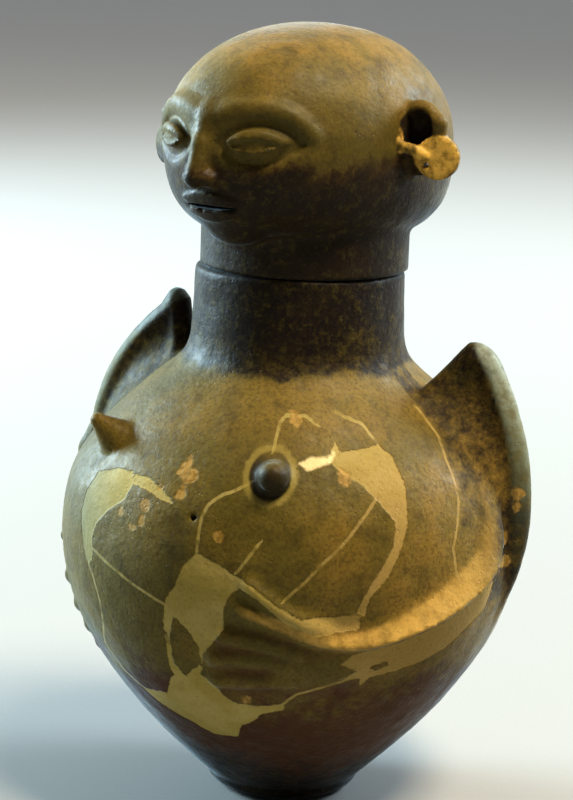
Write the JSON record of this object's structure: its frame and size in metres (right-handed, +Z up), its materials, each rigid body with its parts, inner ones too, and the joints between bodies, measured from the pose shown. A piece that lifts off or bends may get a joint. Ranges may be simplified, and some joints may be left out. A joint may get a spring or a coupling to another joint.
{
  "type": "anthropomorphic burial urn with head lid",
  "caption": "Hollow clay burial urn: pear-shaped jar with wing-like arm stubs, relief hands and breasts, closed by a lift-off lid shaped as a human head.",
  "frame": {"origin": "centre of the flat foot, on the surface the urn stands on", "axes": "+Z up; the figure faces -Y; its left side is +X"},
  "size_m": [0.355, 0.334, 0.56],
  "materials": {
    "jar_clay": "burnished dark brown clay with tan plaster repairs",
    "lid_clay": "burnished dark brown clay"
  },
  "bodies": {
    "root": {"jar": "jar_clay", "head_lid": "lid_clay"}
  },
  "joints": []
}
